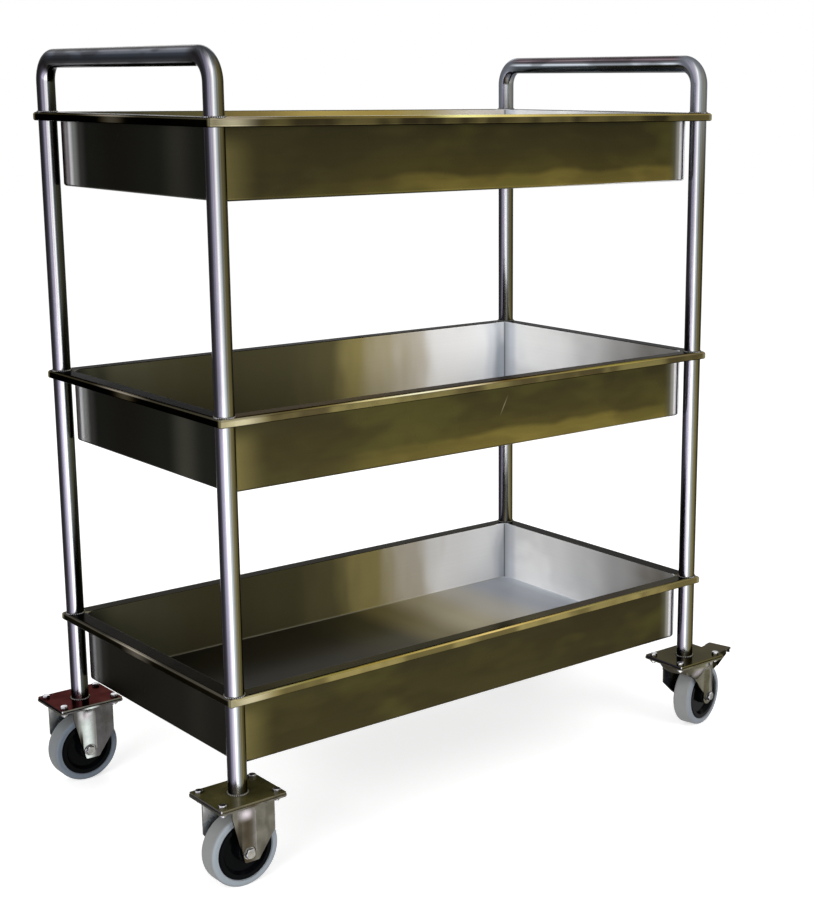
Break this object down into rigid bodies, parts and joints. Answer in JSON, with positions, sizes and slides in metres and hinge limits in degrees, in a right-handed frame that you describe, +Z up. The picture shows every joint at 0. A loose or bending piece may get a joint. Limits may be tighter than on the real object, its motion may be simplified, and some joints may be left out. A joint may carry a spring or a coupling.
{
  "type": "three-tier trolley",
  "caption": "Trolley with deep folded trays welded between bent tube end frames that form push handles, rolling on fixed casters at one end and braked swivel casters at the other.",
  "frame": {"origin": "On the floor under the wheels, in the middle of the whole trolley seen from above, brake pedals included", "axes": "+X along the long side towards the braked swivel casters, +Y across towards the back long side, +Z up"},
  "size_m": [0.9993, 0.536, 1.0705],
  "materials": {
    "frame_tube": "polished stainless tube",
    "tray_sheet": "fine-polished stainless sheet",
    "weld": "bright weld bead",
    "foot_plate": "polished stainless plate",
    "fastener": "bright zinc plated",
    "caster_steel": "bright plated pressed steel",
    "bearing_steel": "ground steel",
    "bush": "natural nylon",
    "hub": "glossy black moulding",
    "tyre": "matt grey rubber",
    "brake_steel": "dark plated pressed steel"
  },
  "bodies": {
    "trolley": {"left_frame_tube": "frame_tube", "right_frame_tube": "frame_tube", "top_tray": "tray_sheet", "middle_tray": "tray_sheet", "bottom_tray": "tray_sheet", "tray_weld_beads": "weld", "foot_weld_beads": "weld", "front_left_foot_plate": "foot_plate", "back_left_foot_plate": "foot_plate", "front_right_foot_plate": "foot_plate", "back_right_foot_plate": "foot_plate", "front_left_plate_bolts": "fastener", "back_left_plate_bolts": "fastener", "front_right_plate_bolts": "fastener", "back_right_plate_bolts": "fastener", "front_left_plate_nuts": "fastener", "back_left_plate_nuts": "fastener", "front_right_plate_nuts": "fastener", "back_right_plate_nuts": "fastener", "front_left_bracket": "caster_steel", "back_left_bracket": "caster_steel", "front_right_swivel_plate": "caster_steel", "back_right_swivel_plate": "caster_steel", "front_right_kingpin": "caster_steel", "back_right_kingpin": "caster_steel", "front_left_axle_bolt": "fastener", "back_left_axle_bolt": "fastener", "front_left_axle_nut": "fastener", "back_left_axle_nut": "fastener", "front_left_axle_sleeve": "bearing_steel", "back_left_axle_sleeve": "bearing_steel"},
    "front_right_swivel": {"front_right_swivel_balls": "bearing_steel", "front_right_fork": "caster_steel", "front_right_axle_bolt": "fastener", "front_right_axle_nut": "fastener", "front_right_axle_sleeve": "bearing_steel", "front_right_brake_pin": "fastener"},
    "back_right_swivel": {"back_right_swivel_balls": "bearing_steel", "back_right_fork": "caster_steel", "back_right_axle_bolt": "fastener", "back_right_axle_nut": "fastener", "back_right_axle_sleeve": "bearing_steel", "back_right_brake_pin": "fastener"},
    "front_left_wheel": {"front_left_hub_bush": "bush", "front_left_wheel_hub": "hub", "front_left_tyre": "tyre"},
    "back_left_wheel": {"back_left_hub_bush": "bush", "back_left_wheel_hub": "hub", "back_left_tyre": "tyre"},
    "front_right_wheel": {"front_right_hub_bush": "bush", "front_right_wheel_hub": "hub", "front_right_tyre": "tyre"},
    "back_right_wheel": {"back_right_hub_bush": "bush", "back_right_wheel_hub": "hub", "back_right_tyre": "tyre"},
    "front_right_brake": {"front_right_brake_pedal": "brake_steel"},
    "back_right_brake": {"back_right_brake_pedal": "brake_steel"}
  },
  "joints": [
    {"name": "front_left_wheel_spin", "type": "hinge", "parent": "trolley", "child": "front_left_wheel", "pos_m": [-0.449, -0.2255, 0.05], "axis": [0, 1, 0], "continuous": true},
    {"name": "back_left_wheel_spin", "type": "hinge", "parent": "trolley", "child": "back_left_wheel", "pos_m": [-0.449, 0.2255, 0.05], "axis": [0, 1, 0], "continuous": true},
    {"name": "front_right_swivel_turn", "type": "hinge", "parent": "trolley", "child": "front_right_swivel", "pos_m": [0.382, -0.2255, 0.114], "axis": [0, 0, 1], "continuous": true},
    {"name": "front_right_wheel_spin", "type": "hinge", "parent": "front_right_swivel", "child": "front_right_wheel", "pos_m": [0.42097, -0.2165, 0.05], "axis": [-0.225, 0.9744, 0], "continuous": true},
    {"name": "front_right_brake_press", "type": "hinge", "parent": "front_right_swivel", "child": "front_right_brake", "pos_m": [0.42682, -0.21515, 0.1055], "axis": [-0.225, 0.9744, 0], "range_deg": [0, 6]},
    {"name": "back_right_swivel_turn", "type": "hinge", "parent": "trolley", "child": "back_right_swivel", "pos_m": [0.382, 0.2255, 0.114], "axis": [0, 0, 1], "continuous": true},
    {"name": "back_right_wheel_spin", "type": "hinge", "parent": "back_right_swivel", "child": "back_right_wheel", "pos_m": [0.4217, 0.22062, 0.05], "axis": [0.1219, 0.9925, 0], "continuous": true},
    {"name": "back_right_brake_press", "type": "hinge", "parent": "back_right_swivel", "child": "back_right_brake", "pos_m": [0.42766, 0.21989, 0.1055], "axis": [0.1219, 0.9925, 0], "range_deg": [0, 6]}
  ]
}
